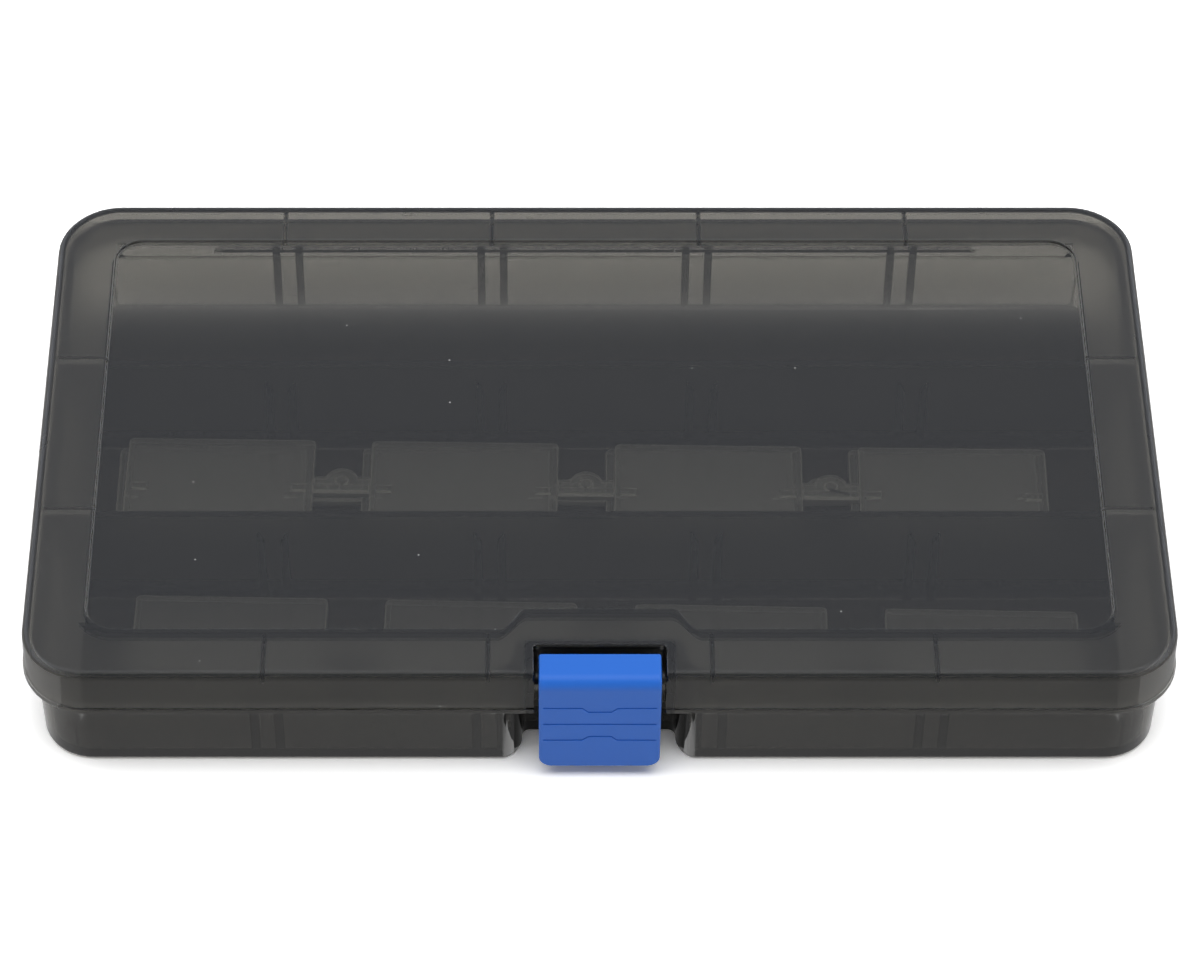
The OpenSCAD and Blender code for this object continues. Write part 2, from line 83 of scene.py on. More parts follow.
# How the meshes are cleaned, rounded and shaded.
MERGE_GAP = 0.02 * MM
FLAT_ANGLE = math.radians(0.5)
SHARP_ANGLE = math.radians(25)
CORNER_ANGLE = math.radians(40)
BEVEL_SEGMENTS = 3
FLAT_FACE = 0.99

# What the frame says about the pieces.
TREES = ("front", "lower", "upper")
LID_LOW, LID_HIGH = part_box("lid")
LATCH_LOW, LATCH_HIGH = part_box("latch")
JOINTS = {joint["name"]: joint for joint in frame["joints"]}
LATCH_PIVOT = Vector(JOINTS["latch_hinge"]["pos_m"])

# Places on the lid: its sunk window, which steps in behind the latch, its rim, skirt and cheeks.
WINDOW_HALF_X = 78 * MM
WINDOW_NEAR, WINDOW_FAR = -40.9 * MM, 41.75 * MM
WINDOW_TOP = LID_HIGH.z - 0.6 * MM
WINDOW_UNDER = LID_HIGH.z - 1.8 * MM
WINDOW_ROUND = 4.5 * MM
STEP_NEAR_X, STEP_FAR_X, STEP_IN = 10.8 * MM, 15.6 * MM, 4 * MM
LAP_BAND, LAP_TURN = 2 * MM, 3.4 * MM
BACK_BAND = 4 * MM
EDGE_ZONE = 2.2 * MM
LID_SKIN = 1.0 * MM
CHEEK_HALF, CHEEK_BACK = 11.4 * MM, -42.8 * MM
HEM_TOP = LID_LOW.z + 0.9 * MM

# Places on the tray: its foot, latch pocket, partitions, divider slots and rear row.
FOOT_TOP, FOOT_ROUND = 0.5 * MM, 0.85 * MM
FLOOR_TOP = 1.5 * MM
BEAD_LOW, BEAD_HIGH = 11.2 * MM, 12.0 * MM
POCKET_HALF, POCKET_BACK = 13 * MM, -41.2 * MM
MOUTH_INNER, MOUTH_OUTER, MOUTH_BACK = 11.5 * MM, 17.2 * MM, -43.5 * MM
PARTITION_PLACE, PARTITION_HALF, PARTITION_TOP = 16.03 * MM, 1.0 * MM, 19.4 * MM
SLOT_NEAR, SLOT_FAR = 0.9 * MM, 2.4 * MM
RIB_NEAR, RIB_FAR, RIB_HALF_X = 45.9 * MM, 46.9 * MM, 80 * MM
ROW_BACK = 47.5 * MM
ROW_CORNER = (0, ROW_BACK, 1.2 * MM)
WALL_SKIN = 0.4 * MM

# Places on the latch.
GRIP_INSET = 0.6 * MM
SOCKET_REACH = 1.5 * MM

# How softly the zones of a material end, and how far from a level its edges are looked for.
MASK_FADE = 0.1 * MM
EDGE_REACH = 0.4 * MM

# Shares of the light that faces let through, and the shares of colour left in zones darkened with painted
# shade.
FACE_PASS = 0.96
PAINTED_FOOT_SHADE = 0.12
PAINTED_POCKET_SHADE = 0.3
PAINTED_CHEEK_SHADE = 0.5
PAINTED_LAP_SHADE = 0.15
PAINTED_RIB_SHADE = 0.3
PAINTED_SLOT_SHADE = 0.7
PLATE_PASS, CUT_PASS = 0.85, 0.6

# The plastics' optics and skins.
Skin = namedtuple("Skin", "unevenness grain_scale grain_depth")
SMOKE_SKIN = Skin(0.04, 2500, 0.0008 * MM)
LATCH_SKIN = Skin(0.1, 3500, 0.006 * MM)
PLATE_SKIN = Skin(0.1, 3000, 0.006 * MM)
PATCH_SCALE = 90
PLASTIC_IOR = 1.49
LATCH_GLOSS = 0.38
PLATE_GLOSS, CUT_GLOSS = 0.2, 0.3
PLATE_CLEAR, CUT_CLEAR = 0.85, 0.3
# How far the painted light on the tray's floor along the rear wall reaches, and how fast it falls.
PAINTED_LIGHT_REACH = 12 * MM
PAINTED_LIGHT_FALL = 3.5

# The stage. The ranges of the mirrored sky are parts of a direction of length 1.
PHOTO_WIDTH = 1200
SENSOR_WIDTH = 36.0
CAMERA_NEAR, CAMERA_FAR = 0.01, 50
LIGHT_BOUNCES = 24
NEAR_SIDE_RANGE = (-0.55, -0.2)
ZENITH_RANGE = (0.8, 0.97)
SIDES_RANGE = (0.35, 0.7)
SOFTBOX_WIDE, SOFTBOX_DEEP = 2.0, 1.2
SOFTBOX_PLACE = (0, -0.05, 1.5)
FLOOR_HALF, FLOOR_DROP = 3, 0.2 * MM
FLOOR_GREY = 0.88
LATCH_SHADE_HALF, LATCH_SHADE_FRONT = 12 * MM, -50.5 * MM


class BoxEdges(bpy.types.PropertyGroup):
    """How round the small edges of each moulding are."""

    lid: FloatProperty(
        name="Lid", description="Rounding of the edges of the lid's rim and window",
        default=0.3 * MM, min=0, unit="LENGTH", subtype="DISTANCE")
    hem: FloatProperty(
        name="Hem", description="Rounding of the thicker hem along the lid's lower edge",
        default=0.12 * MM, min=0, unit="LENGTH", subtype="DISTANCE")
    tray: FloatProperty(
        name="Tray", description="Rounding of the tray's small edges",
        default=0.15 * MM, min=0, unit="LENGTH", subtype="DISTANCE")
    latch: FloatProperty(
        name="Latch", description="Rounding of the latch's small edges",
        default=0.4 * MM, min=0, unit="LENGTH", subtype="DISTANCE")
    grip: FloatProperty(
        name="Grip", description="Rounding of the latch's grip grooves",
        default=0.05 * MM, min=0, unit="LENGTH", subtype="DISTANCE")
    divider: FloatProperty(
        name="Dividers", description="Rounding of the dividers' and runners' edges",
        default=0.15 * MM, min=0, unit="LENGTH", subtype="DISTANCE")


class BoxFinishes(bpy.types.PropertyGroup):
    """Colours and gloss of the three plastics, and the light painted on them."""

    smoke_through: FloatVectorProperty(
        name="Smoke tint", description="Colour that the smoke plastic lets through best",
        subtype="COLOR", size=3, min=0, max=1, default=(0.12, 0.095, 0.03))
    smoke_density: FloatProperty(
        name="Smoke density", description="How much light a metre of smoke plastic takes",
        default=1000, min=0)
    satin: FloatProperty(
        name="Satin roughness", description="Roughness of the lid's flat rim",
        default=0.1, min=0, max=1, subtype="FACTOR")
    frosted: FloatProperty(
        name="Frosted roughness", description="Roughness of the underside of the lid's rim and skirt",
        default=0.42, min=0, max=1, subtype="FACTOR")
    worn: FloatProperty(
        name="Edge roughness", description="Roughness of the lid's left, right and back edges",
        default=0.28, min=0, max=1, subtype="FACTOR")
    polished: FloatProperty(
        name="Window roughness", description="Roughness of the polished window",
        default=0.03, min=0, max=1, subtype="FACTOR")
    tray_gloss: FloatProperty(
        name="Tray roughness", description="Roughness of the tray",
        default=0.04, min=0, max=1, subtype="FACTOR")
    partition_gloss: FloatProperty(
        name="Partition roughness", description="Roughness of the hazy partitions",
        default=0.3, min=0, max=1, subtype="FACTOR")
    # Painted light: a faint glow on the tray's floor along the rear wall.
    painted_light: FloatProperty(
        name="Floor haze", description="Light that the hazy floor catches along the rear wall",
        default=0.22, min=0)
    # Painted light: faint glows on the frosted rim at the left, right and back, on the back skirt and on the
    # window's far edge.
    painted_side_light: FloatProperty(
        name="Side haze", description="Light that the frosted rim catches at the left and right",
        default=0.04, min=0)
    painted_back_light: FloatProperty(
        name="Back haze", description="Light that the frosted rim catches at the back",
        default=0.024, min=0)
    painted_skirt_light: FloatProperty(
        name="Skirt haze", description="Light that the back skirt catches",
        default=0.08, min=0)
    painted_edge_light: FloatProperty(
        name="Edge haze", description="Light that the window's far edge catches",
        default=0.015, min=0)
    # Partly real and partly painted light: the specks of dirt shine with a painted glint.
    dust_and_glint: FloatProperty(
        name="Dust", description="Brightness of the dust specks on the lid",
        default=0.3, min=0)
    blue: FloatVectorProperty(
        name="Latch blue", description="Colour of the latch",
        subtype="COLOR", size=3, min=0, max=1, default=(0.010, 0.120, 0.535))
    clear: FloatVectorProperty(
        name="Divider tint", description="Colour of the hazy clear dividers",
        subtype="COLOR", size=3, min=0, max=1, default=(0.82, 0.84, 0.84))


class BoxStage(bpy.types.PropertyGroup):
    """Camera, light and floor."""

    camera_place: FloatVectorProperty(
        name="Camera place", description="Where the camera stands",
        subtype="TRANSLATION", unit="LENGTH", size=3, default=(-9.17 * MM, -492.9 * MM, 558.1 * MM))
    camera_tilt: FloatProperty(
        name="Camera tilt", description="How far the camera is tipped up from looking straight down",
        default=math.radians(41.99), subtype="ANGLE")
    focal_pixels: FloatProperty(
        name="Focal length", description="Focal length in pixels of a picture 1200 pixels wide",
        default=4635, min=1)
    centre_pixel: FloatProperty(
        name="Centre column", description="Picture column that the camera's axis meets",
        default=539.2)
    sky: FloatProperty(
        name="Sky", description="Strength of the light from all round",
        default=0.35, min=0)
    mirrored_sky: FloatVectorProperty(
        name="Mirrored sky", description="Colour of the surroundings in glossy surfaces",
        subtype="COLOR", size=3, min=0, max=2, default=(0.9, 0.94, 1.03))
    zenith: FloatProperty(
        name="Zenith", description="How much brighter the mirrored sky is straight above",
        default=1.15, min=0)
    near_side: FloatProperty(
        name="Near side", description="Share of the mirrored sky that is left on the camera's side",
        default=0.6, min=0, max=1, subtype="FACTOR")
    sides: FloatProperty(
        name="Sides", description="How much brighter the mirrored sky is to the left and right",
        default=1.9, min=0)
    softbox: FloatProperty(
        name="Softbox", description="Power of the lamp overhead",
        default=26, min=0, unit="POWER")
    floor_white: FloatProperty(
        name="Floor white", description="How bright the floor looks to the camera",
        default=1.6, min=0)
    floor_mirrored: FloatProperty(
        name="Floor in gloss", description="How bright the floor looks in glossy surfaces",
        default=0.75, min=0)
    floor_shaded: FloatProperty(
        name="Shaded floor", description="How bright the floor under the latch looks in glossy surfaces",
        default=0.12, min=0)
    floor_through: FloatProperty(
        name="Floor through plastic", description="How bright the floor looks through clear plastic",
        default=1.35, min=0)


class BoxSettings(bpy.types.PropertyGroup):
    """All settings of the box."""

    edges: PointerProperty(type=BoxEdges)
    finishes: PointerProperty(type=BoxFinishes)
    stage: PointerProperty(type=BoxStage)


def add_node(tree, kind, x, y, **values):
    """Adds a node at a place in the tree. Values are set on the inputs they name, _ standing for a space."""
    made = tree.nodes.new(kind)
    made.location = (x, y)
    for name, value in values.items():
        made.inputs[name.replace("_", " ")].default_value = value
    return made


def link(tree, out_socket, in_socket):
    """Joins two sockets."""
    tree.links.new(out_socket, in_socket)


def group_tree(name, inputs, outputs):
    """An empty shader node group with named float sockets."""
    tree = bpy.data.node_groups.new(name, "ShaderNodeTree")
    for socket, default in inputs:
        made = tree.interface.new_socket(socket, in_out="INPUT", socket_type="NodeSocketFloat")
        made.default_value = default
    for socket in outputs:
        tree.interface.new_socket(socket, in_out="OUTPUT", socket_type="NodeSocketFloat")
    return tree, tree.nodes.new("NodeGroupInput"), tree.nodes.new("NodeGroupOutput")


def moulded_skin():
    """Group: the uneven gloss and fine grain of a moulded plastic surface."""
    name = "moulded_skin"
    if name in bpy.data.node_groups:
        return bpy.data.node_groups[name]
    tree, given, result = group_tree(
        name, [("Gloss", 0.3), ("Unevenness", 0.1), ("Grain Scale", 2500)], ["Roughness", "Height"])
    place = add_node(tree, "ShaderNodeTexCoord", -700, 0)
    patches = add_node(tree, "ShaderNodeTexNoise", -450, 150, Scale=PATCH_SCALE, Detail=3)
    grain = add_node(tree, "ShaderNodeTexNoise", -450, -150, Detail=2)
    link(tree, place.outputs["Object"], patches.inputs["Vector"])
    link(tree, place.outputs["Object"], grain.inputs["Vector"])
    link(tree, given.outputs["Grain Scale"], grain.inputs["Scale"])
    centred = add_node(tree, "ShaderNodeMath", -250, 150)
    centred.operation = "SUBTRACT"
    centred.inputs[1].default_value = 0.5
    link(tree, patches.outputs["Fac"], centred.inputs[0])
    spread = add_node(tree, "ShaderNodeMath", -50, 150)
    spread.operation = "MULTIPLY_ADD"
    link(tree, centred.outputs[0], spread.inputs[0])
    link(tree, given.outputs["Unevenness"], spread.inputs[1])
    link(tree, given.outputs["Gloss"], spread.inputs[2])
    link(tree, spread.outputs[0], result.inputs["Roughness"])
    link(tree, grain.outputs["Fac"], result.inputs["Height"])
    return tree


def dust_specks():
    """Group: a few tiny specks of dirt strewn at random, which the lid makes shine with a painted glint."""
    name = "dust_specks"
    if name in bpy.data.node_groups:
        return bpy.data.node_groups[name]
    tree, given, result = group_tree(name, [("Scale", 150), ("Size", 0.024)], ["Specks"])
    place = add_node(tree, "ShaderNodeTexCoord", -700, 0)
    cells = add_node(tree, "ShaderNodeTexVoronoi", -450, 0)
    link(tree, place.outputs["Object"], cells.inputs["Vector"])
    link(tree, given.outputs["Scale"], cells.inputs["Scale"])
    speck = add_node(tree, "ShaderNodeMath", -200, 0)
    speck.operation = "LESS_THAN"
    link(tree, cells.outputs["Distance"], speck.inputs[0])
    link(tree, given.outputs["Size"], speck.inputs[1])
    link(tree, speck.outputs[0], result.inputs["Specks"])
    return tree


def new_material(name):
    """A material with an empty node tree and its output."""
    material = bpy.data.materials.new(name)
    material.use_nodes = True
    tree = material.node_tree
    tree.nodes.clear()
    return material, tree, add_node(tree, "ShaderNodeOutputMaterial", 900, 0)


def add_skin(tree, shader, gloss, skin):
    """Gives a Principled shader a moulded skin with a mean gloss."""
    group = add_node(tree, "ShaderNodeGroup", -400, -100)
    group.node_tree = moulded_skin()
    group.inputs["Gloss"].default_value = gloss
    group.inputs["Unevenness"].default_value = skin.unevenness
    group.inputs["Grain Scale"].default_value = skin.grain_scale
    bump = add_node(tree, "ShaderNodeBump", -150, -250, Strength=1.0, Distance=skin.grain_depth)
    link(tree, group.outputs["Roughness"], shader.inputs["Roughness"])
    link(tree, group.outputs["Height"], bump.inputs["Height"])
    link(tree, bump.outputs["Normal"], shader.inputs["Normal"])


def let_lamps_through(tree, shader, output, share):
    """Lamp and bounced light go straight through the plastic, and each face lets a share of them pass."""
    path = add_node(tree, "ShaderNodeLightPath", 100, 350)
    straight = add_node(tree, "ShaderNodeBsdfTransparent", 100, -350, Color=(share, share, share, 1))
    lamp_mix = add_node(tree, "ShaderNodeMixShader", 400, 0)
    bounce_mix = add_node(tree, "ShaderNodeMixShader", 650, 0)
    link(tree, path.outputs["Is Shadow Ray"], lamp_mix.inputs["Fac"])
    link(tree, shader.outputs["BSDF"], lamp_mix.inputs[1])
    link(tree, straight.outputs["BSDF"], lamp_mix.inputs[2])
    link(tree, path.outputs["Is Diffuse Ray"], bounce_mix.inputs["Fac"])
    link(tree, lamp_mix.outputs["Shader"], bounce_mix.inputs[1])
    link(tree, straight.outputs["BSDF"], bounce_mix.inputs[2])
    link(tree, bounce_mix.outputs["Shader"], output.inputs["Surface"])


def smoke_plastic(finishes, name, gloss):
    """Smoke plastic: clear at its faces and darkened by its depth."""
    material, tree, output = new_material(name)
    shader = add_node(
        tree, "ShaderNodeBsdfPrincipled", 100, 0,
        Base_Color=(1, 1, 1, 1), IOR=PLASTIC_IOR, Transmission_Weight=1.0)
    add_skin(tree, shader, gloss, SMOKE_SKIN)
    let_lamps_through(tree, shader, output, FACE_PASS)
    depth = add_node(
        tree, "ShaderNodeVolumeAbsorption", 650, -250,
        Color=(*finishes.smoke_through, 1), Density=finishes.smoke_density)
    link(tree, depth.outputs["Volume"], output.inputs["Volume"])
    return material


def math_node(tree, operation, x, y, first, second=None):
    """A Math node on one or two sockets."""
    made = add_node(tree, "ShaderNodeMath", x, y)
    made.operation = operation
    link(tree, first, made.inputs[0])
    if second is not None:
        link(tree, second, made.inputs[1])
    return made.outputs[0]


def slab(tree, value, low, high, x, y):
    """A mask that is 1 between two values and falls to 0 at both."""
    half = (high - low) / 2
    centred = add_node(tree, "ShaderNodeMath", x, y)
    centred.operation = "SUBTRACT"
    centred.inputs[1].default_value = low + half
    link(tree, value, centred.inputs[0])
    apart = math_node(tree, "ABSOLUTE", x + 160, y, centred.outputs[0])
    fall = add_node(
        tree, "ShaderNodeMapRange", x + 320, y,
        From_Min=half - MASK_FADE, From_Max=half, To_Min=1.0, To_Max=0.0)
    link(tree, apart, fall.inputs["Value"])
    return fall.outputs["Result"]


def object_axes(tree, x, y):
    """The object's own X, Y and Z as three sockets."""
    place = add_node(tree, "ShaderNodeTexCoord", x, y)
    split = add_node(tree, "ShaderNodeSeparateXYZ", x + 160, y)
    link(tree, place.outputs["Object"], split.inputs["Vector"])
    return list(split.outputs)


def block_mask(tree, axes, low, high, x, y):
    """A mask that is 1 inside a block between two corners."""
    inside = [slab(tree, axes[i], low[i], high[i], x, y - 180 * i) for i in range(3)]
    level = math_node(tree, "MULTIPLY", x + 500, y, inside[0], inside[1])
    return math_node(tree, "MULTIPLY", x + 660, y, level, inside[2])


def vary_gloss(tree, zones):
    """Gives the zones of a material, each a mask and a roughness, their own gloss."""
    shader = tree.nodes["Principled BSDF"]
    rough = shader.inputs["Roughness"].links[0].from_socket
    for column, (mask, value) in enumerate(zones):
        choice = add_node(tree, "ShaderNodeMix", 160 * column - 500, 300)
        choice.inputs["B"].default_value = value
        link(tree, mask, choice.inputs["Factor"])
        link(tree, rough, choice.inputs["A"])
        rough = choice.outputs["Result"]
    link(tree, rough, shader.inputs["Roughness"])


def paint_shade(tree, zones):
    """Paints shade on the zones of a material, each a mask and a share: their colour falls to that share, so
    they pass only that share of the light.
    """
    tone = None
    for column, (mask, share) in enumerate(zones):
        passed = add_node(tree, "ShaderNodeMath", 320 * column - 500, 500)
        passed.operation = "MULTIPLY_ADD"
        passed.inputs[1].default_value = share - 1
        passed.inputs[2].default_value = 1
        link(tree, mask, passed.inputs[0])
        if tone:
            tone = math_node(tree, "MULTIPLY", 320 * column - 340, 500, tone, passed.outputs[0])
        else:
            tone = passed.outputs[0]
    link(tree, tone, tree.nodes["Principled BSDF"].inputs["Base Color"])


def glow(tree, zones):
    """Lets the zones of a material, each a mask and a strength, shine with a faint light of their own."""
    total = None
    for column, (mask, strength) in enumerate(zones):
        light = add_node(tree, "ShaderNodeMath", 160 * column - 700, -500)
        light.operation = "MULTIPLY_ADD"
        light.inputs[1].default_value = strength
        light.inputs[2].default_value = 0
        link(tree, mask, light.inputs[0])
        if total:
            link(tree, total, light.inputs[2])
        total = light.outputs[0]
    shader = tree.nodes["Principled BSDF"]
    shader.inputs["Emission Strength"].default_value = 1
    link(tree, total, shader.inputs["Emission Color"])


def stepped_axes(tree, axes, x, y):
    """The same axes, with Y measured from the window's near edge as it steps in behind the latch."""
    shift = add_node(
        tree, "ShaderNodeMapRange", x + 160, y,
        From_Min=STEP_NEAR_X, From_Max=STEP_FAR_X, To_Min=WINDOW_NEAR + STEP_IN, To_Max=WINDOW_NEAR)
    shift.interpolation_type = "SMOOTHSTEP"
    link(tree, math_node(tree, "ABSOLUTE", x, y, axes[0]), shift.inputs["Value"])
    return [axes[0], math_node(tree, "SUBTRACT", x + 320, y, axes[1], shift.outputs["Result"]), axes[2]]


def add_value(tree, first, value, x, y):
    """A socket plus a fixed value."""
    total = math_node(tree, "ADD", x, y, first)
    total.node.inputs[1].default_value = value
    return total


def lap_axes(tree, stepped, x, y):
    """Distance from the window's near edge, round its corners too, the reach in front of them, and Z."""
    beside = add_value(
        tree, math_node(tree, "ABSOLUTE", x, y, stepped[0]), WINDOW_ROUND - WINDOW_HALF_X, x + 160, y)
    past = math_node(tree, "MAXIMUM", x + 320, y, beside)
    past.node.inputs[1].default_value = 0
    turned = math_node(tree, "MULTIPLY", x, y - 200, stepped[1])
    turned.node.inputs[1].default_value = -1
    front = add_value(tree, turned, WINDOW_ROUND, x + 160, y - 200)
    flat = add_node(tree, "ShaderNodeCombineXYZ", x + 480, y)
    link(tree, past, flat.inputs["X"])
    link(tree, front, flat.inputs["Y"])
    reach = add_node(tree, "ShaderNodeVectorMath", x + 640, y)
    reach.operation = "LENGTH"
    link(tree, flat.outputs["Vector"], reach.inputs[0])
    return [add_value(tree, reach.outputs["Value"], -WINDOW_ROUND, x + 800, y), front, stepped[2]]


def lid_plastic(finishes):
    """The lid's smoke plastic: worn edges, satin rim, frosted underside and a polished window, with painted
    shade by the window's near edge and the latch, and painted light on rim, skirt and specks.
    """
    material = smoke_plastic(finishes, "smoke_lid", finishes.worn)
    tree = material.node_tree
    axes = object_axes(tree, -3200, 600)
    stepped = stepped_axes(tree, axes, -2800, 200)
    under_z, over_z = LID_HIGH.z - LID_SKIN, LID_HIGH.z + LID_SKIN
    rim = block_mask(
        tree, axes, (LID_LOW.x + EDGE_ZONE, LID_LOW.y - LID_SKIN, LID_LOW.z - LID_SKIN),
        (LID_HIGH.x - EDGE_ZONE, LID_HIGH.y - EDGE_ZONE, over_z), -2200, 2400)
    hollow = block_mask(
        tree, axes, (LID_LOW.x + LID_SKIN, LID_LOW.y + LID_SKIN, LID_LOW.z - LID_SKIN),
        (LID_HIGH.x - LID_SKIN, LID_HIGH.y - BACK_BAND, under_z), -2200, 1800)
    panel = block_mask(
        tree, axes, (-WINDOW_HALF_X, WINDOW_NEAR, LID_LOW.z),
        (WINDOW_HALF_X, WINDOW_FAR, WINDOW_TOP + 2 * MASK_FADE), -2200, 1200)
    behind_step = block_mask(
        tree, stepped, (-WINDOW_HALF_X, 0, LID_LOW.z), (WINDOW_HALF_X, 2 * WINDOW_FAR, over_z), -2200, 600)
    window = math_node(tree, "MULTIPLY", -1300, 900, panel, behind_step)
    vary_gloss(tree, ((rim, finishes.satin), (hollow, finishes.frosted), (window, finishes.polished)))
    along_edge = lap_axes(tree, stepped, -3400, -200)
    # Painted shade: a band along the window's near edge is darkened, standing in for the dark band the sunk
    # step throws there.
    lap = block_mask(
        tree, along_edge, (0, LAP_TURN, LID_LOW.z), (LAP_BAND, LID_HIGH.y, over_z), -2200, 0)
    # Painted shade: the cheeks beside the latch are darkened as the gap's shadow.
    cheeks = block_mask(
        tree, axes, (-CHEEK_HALF, LID_LOW.y, LID_LOW.z - LID_SKIN),
        (CHEEK_HALF, CHEEK_BACK, under_z), -2200, -600)
    paint_shade(tree, ((lap, PAINTED_LAP_SHADE), (cheeks, PAINTED_CHEEK_SHADE)))
    # Specks of dirt that shine with a painted glint.
    specks = add_node(tree, "ShaderNodeGroup", -400, -500)
    specks.node_tree = dust_specks()
    apart = [math_node(tree, "ABSOLUTE", -2800, -1200, axes[0]), axes[1], axes[2]]
    inner_x, back_y = LID_HIGH.x - LID_SKIN, LID_HIGH.y - BACK_BAND
    # Painted light: masks for the glows on the rim's sides and back, the back skirt and the window's far
    # edge.
    sides = block_mask(
        tree, apart, (WINDOW_HALF_X, LID_LOW.y + LID_SKIN, LID_LOW.z - LID_SKIN),
        (inner_x, WINDOW_FAR, under_z), -2200, -1200)
    back = block_mask(tree, axes, (-inner_x, WINDOW_FAR, LID_LOW.z), (inner_x, back_y, under_z), -2200, -1800)
    skirt = block_mask(
        tree, axes, (-inner_x, back_y, LID_LOW.z), (inner_x, LID_HIGH.y - LID_SKIN, under_z), -2200, -2400)
    far_edge = block_mask(
        tree, axes, (-WINDOW_HALF_X, WINDOW_FAR - MASK_FADE, WINDOW_TOP),
        (WINDOW_HALF_X, WINDOW_FAR + EDGE_REACH, over_z), -2200, -3000)
    glow(tree, (
        (specks.outputs["Specks"], finishes.dust_and_glint), (sides, finishes.painted_side_light), (back, finishes.painted_back_light),
        (skirt, finishes.painted_skirt_light), (far_edge, finishes.painted_edge_light)))
    return material


def tray_plastic(finishes):
    """The tray's smoke plastic, with painted shade at its foot, in the latch pocket and on its ribs and
    slots, hazy partitions, and painted light on the floor along the rear wall.
    """
    material = smoke_plastic(finishes, "smoke_tray", finishes.tray_gloss)
    tree = material.node_tree
    axes = object_axes(tree, -3200, 600)
    apart = [axes[0], math_node(tree, "ABSOLUTE", -2800, 400, axes[1]), axes[2]]
    off_partition = math_node(
        tree, "ABSOLUTE", -2500, 900, add_value(tree, apart[1], -PARTITION_PLACE, -2650, 900))
    across = [axes[0], off_partition, axes[2]]
    partitions = block_mask(
        tree, across, (CAD_LOW.x, -PARTITION_HALF, FLOOR_TOP),
        (CAD_HIGH.x, PARTITION_HALF, PARTITION_TOP), -2200, 1200)
    # Painted shade: the slot ribs beside the partitions are darkened.
    slots = block_mask(
        tree, across, (-RIB_HALF_X, SLOT_NEAR, FLOOR_TOP),
        (RIB_HALF_X, SLOT_FAR, PARTITION_TOP), -2200, 1800)
    vary_gloss(tree, ((partitions, finishes.partition_gloss),))
    # Painted shade: the foot is darkened where the floor's contact shadow shows through it.
    foot = block_mask(
        tree, axes, (CAD_LOW.x, CAD_LOW.y, -FOOT_TOP), (CAD_HIGH.x, CAD_HIGH.y, FOOT_TOP), -2200, 600)
    # Painted shade: the latch pocket is darkened where it lies in shadow.
    pocket = block_mask(
        tree, axes, (-POCKET_HALF, CAD_LOW.y, -FOOT_TOP), (POCKET_HALF, POCKET_BACK, CAD_HIGH.z), -2200, 0)
    # Painted shade: the ribs on the rear wall are darkened into dark lines.
    ribs = block_mask(
        tree, apart, (-RIB_HALF_X, RIB_NEAR, FLOOR_TOP), (RIB_HALF_X, RIB_FAR, CAD_HIGH.z), -2200, -600)
    paint_shade(tree, ((foot, PAINTED_FOOT_SHADE), (pocket, PAINTED_POCKET_SHADE), (ribs, PAINTED_RIB_SHADE), (slots, PAINTED_SLOT_SHADE)))
    # Painted light: the floor glows faintly along the rear wall.
    glow(tree, ((painted_rear_light_mask(tree, axes), finishes.painted_light),))
    return material


def painted_rear_light_mask(tree, axes):
    """A mask on the tray's inside for painted light, which fades with the distance from the corner of floor
    and rear wall.
    """
    flat = add_node(tree, "ShaderNodeCombineXYZ", -2200, -1200)
    link(tree, axes[1], flat.inputs["Y"])
    link(tree, axes[2], flat.inputs["Z"])
    away = add_node(tree, "ShaderNodeVectorMath", -2000, -1200)
    away.operation = "DISTANCE"
    away.inputs[1].default_value = ROW_CORNER
    link(tree, flat.outputs["Vector"], away.inputs[0])
    near = add_node(
        tree, "ShaderNodeMapRange", -1800, -1200,
        From_Min=0.0, From_Max=PAINTED_LIGHT_REACH, To_Min=1.0, To_Max=0.0)
    link(tree, away.outputs["Value"], near.inputs["Value"])
    fall = math_node(tree, "POWER", -1600, -1200, near.outputs["Result"])
    fall.node.inputs[1].default_value = PAINTED_LIGHT_FALL
    inside = block_mask(
        tree, axes, (CAD_LOW.x, ROW_BACK - PAINTED_LIGHT_REACH, FOOT_TOP),
        (CAD_HIGH.x, ROW_BACK + WALL_SKIN, ROW_CORNER[2] + PAINTED_LIGHT_REACH), -2200, -1500)
    return math_node(tree, "MULTIPLY", -1300, -1200, fall, inside)


def blue_plastic(finishes):
    """Satin opaque blue plastic of the latch."""
    material, tree, output = new_material("latch_blue")
    shader = add_node(
        tree, "ShaderNodeBsdfPrincipled", 100, 0, Base_Color=(*finishes.blue, 1), IOR=PLASTIC_IOR)
    add_skin(tree, shader, LATCH_GLOSS, LATCH_SKIN)
    link(tree, shader.outputs["BSDF"], output.inputs["Surface"])
    return material


def clear_plastic(finishes, name, gloss, clearness, face_pass):
    """Hazy clear plastic of the dividers and their runners."""
    material, tree, output = new_material(name)
    shader = add_node(
        tree, "ShaderNodeBsdfPrincipled", 100, 0,
        Base_Color=(*finishes.clear, 1), IOR=PLASTIC_IOR, Transmission_Weight=clearness)
    add_skin(tree, shader, gloss, PLATE_SKIN)
    let_lamps_through(tree, shader, output, face_pass)
    return material


def moulding(node):
    """A merged copy of a node's mesh, its flat areas joined into single faces."""
    mesh = bmesh.new()
    mesh.from_mesh(frame["nodes"][node].data)
    bmesh.ops.remove_doubles(mesh, verts=mesh.verts[:], dist=MERGE_GAP)
    bmesh.ops.dissolve_limit(mesh, angle_limit=FLAT_ANGLE, verts=mesh.verts[:], edges=mesh.edges[:])
    return mesh


